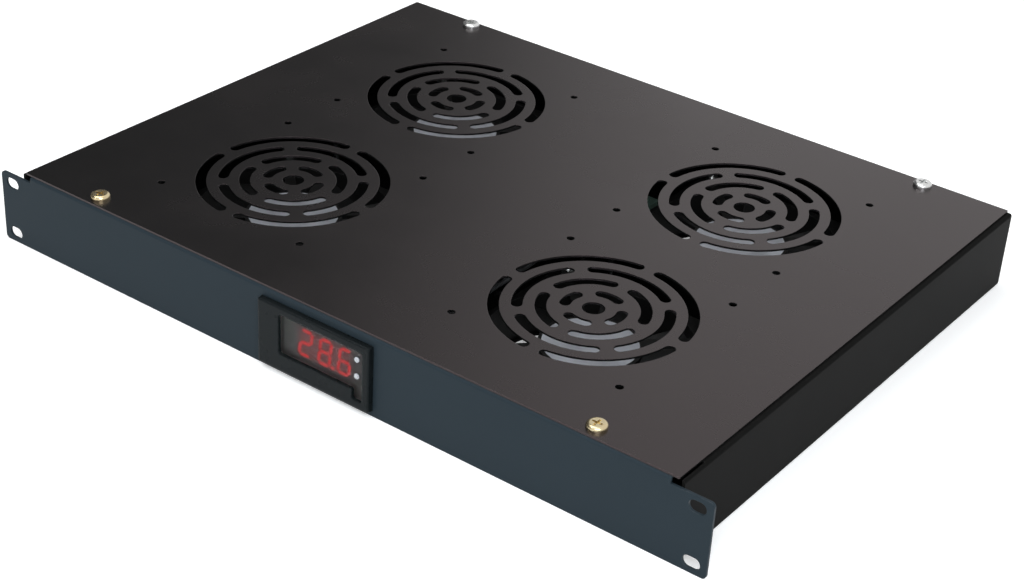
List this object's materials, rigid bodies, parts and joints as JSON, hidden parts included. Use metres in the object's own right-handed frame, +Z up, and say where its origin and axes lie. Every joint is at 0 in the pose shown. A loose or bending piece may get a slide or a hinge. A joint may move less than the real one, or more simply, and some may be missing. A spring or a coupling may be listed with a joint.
{
  "type": "rack fan tray",
  "caption": "Flat folded-steel rack tray with round punched air grilles over axial fans, slotted ears and a digital thermostat in its front panel.",
  "frame": {"origin": "centre of the underside, halfway between the ears and between the thermostat's front and the inlet's back", "axes": "+X to the right seen from the front, +Y from the front panel to the rear wall, +Z up"},
  "size_m": [0.4826, 0.3572, 0.0513],
  "materials": {
    "powder_coat": "satin black powder coat, fine orange peel",
    "panel_coat": "satin black powder coat with a cool sheen",
    "yellow_zinc": "yellow passivated zinc",
    "bright_zinc": "bright zinc",
    "fan_frame": "black painted die casting",
    "label_foil": "plain silver foil disc",
    "stator": "lamination stack with enamelled copper windings",
    "bearing_steel": "ground steel",
    "rotor_plastic": "glass filled black plastic",
    "bezel_plastic": "fine textured black plastic",
    "window_plastic": "smoked face film",
    "case_plastic": "plain black plastic",
    "terminal_plastic": "green grey plastic",
    "board": "green circuit board",
    "red_segments": "lit red segments",
    "key_plastic": "white plastic",
    "inlet_plastic": "black nylon",
    "brass_pins": "plated brass",
    "fuse_glass": "clear glass with metal caps",
    "lead_brown": "brown insulation",
    "lead_green": "green and yellow insulation",
    "lead_black": "black insulation",
    "lead_grey": "grey insulation",
    "probe_steel": "drawn steel sleeve",
    "clip_nylon": "natural nylon"
  },
  "bodies": {
    "chassis": {"base_tray": "powder_coat", "front_panel": "panel_coat", "top_cover": "powder_coat", "front_cover_screws": "yellow_zinc", "rear_cover_screws": "bright_zinc", "cover_nuts": "bright_zinc", "front_left_fan_frame": "fan_frame", "front_left_fan_label": "label_foil", "front_left_fan_stator": "stator", "front_left_fan_bearings": "bearing_steel", "front_right_fan_frame": "fan_frame", "front_right_fan_label": "label_foil", "front_right_fan_stator": "stator", "front_right_fan_bearings": "bearing_steel", "back_left_fan_frame": "fan_frame", "back_left_fan_label": "label_foil", "back_left_fan_stator": "stator", "back_left_fan_bearings": "bearing_steel", "back_right_fan_frame": "fan_frame", "back_right_fan_label": "label_foil", "back_right_fan_stator": "stator", "back_right_fan_bearings": "bearing_steel", "fan_studs": "bright_zinc", "short_studs": "bright_zinc", "stud_nuts": "bright_zinc", "inlet_screws": "bright_zinc", "inlet_nuts": "bright_zinc", "thermostat_bezel": "bezel_plastic", "thermostat_window": "window_plastic", "thermostat_case": "case_plastic", "thermostat_clips": "case_plastic", "thermostat_terminals": "terminal_plastic", "display_board": "board", "display_digits": "red_segments", "control_board": "board", "power_inlet": "inlet_plastic", "inlet_pins": "brass_pins", "terminal_block": "terminal_plastic", "mains_leads": "lead_brown", "earth_lead": "lead_green", "fan_leads": "lead_black", "thermostat_lead": "lead_black", "probe_lead": "lead_grey", "temperature_probe": "probe_steel", "probe_clip": "clip_nylon", "lead_clips": "clip_nylon"},
    "front_left_rotor": {"front_left_fan_rotor": "rotor_plastic", "front_left_fan_shaft": "bearing_steel"},
    "front_right_rotor": {"front_right_fan_rotor": "rotor_plastic", "front_right_fan_shaft": "bearing_steel"},
    "back_left_rotor": {"back_left_fan_rotor": "rotor_plastic", "back_left_fan_shaft": "bearing_steel"},
    "back_right_rotor": {"back_right_fan_rotor": "rotor_plastic", "back_right_fan_shaft": "bearing_steel"},
    "up_key_body": {"up_key": "key_plastic"},
    "down_key_body": {"down_key": "key_plastic"},
    "fuse_holder": {"fuse_drawer": "inlet_plastic", "fuse_link": "fuse_glass"}
  },
  "joints": [
    {"name": "front_left_spin", "type": "hinge", "parent": "chassis", "child": "front_left_rotor", "pos_m": [-0.105, -0.078, 0.0145], "axis": [0, 0, 1], "continuous": true},
    {"name": "front_right_spin", "type": "hinge", "parent": "chassis", "child": "front_right_rotor", "pos_m": [0.105, -0.078, 0.0145], "axis": [0, 0, 1], "continuous": true},
    {"name": "back_left_spin", "type": "hinge", "parent": "chassis", "child": "back_left_rotor", "pos_m": [-0.105, 0.0715, 0.0145], "axis": [0, 0, 1], "continuous": true},
    {"name": "back_right_spin", "type": "hinge", "parent": "chassis", "child": "back_right_rotor", "pos_m": [0.105, 0.0715, 0.0145], "axis": [0, 0, 1], "continuous": true},
    {"name": "up_press", "type": "slide", "parent": "chassis", "child": "up_key_body", "axis": [0, 1, 0], "range_m": [0, 0.0005], "stiffness_N_per_m": 1500, "springref_m": -0.0004},
    {"name": "down_press", "type": "slide", "parent": "chassis", "child": "down_key_body", "axis": [0, 1, 0], "range_m": [0, 0.0005], "stiffness_N_per_m": 1500, "springref_m": -0.0004},
    {"name": "fuse_pull", "type": "slide", "parent": "chassis", "child": "fuse_holder", "axis": [0, 1, 0], "range_m": [0, 0.018]}
  ]
}
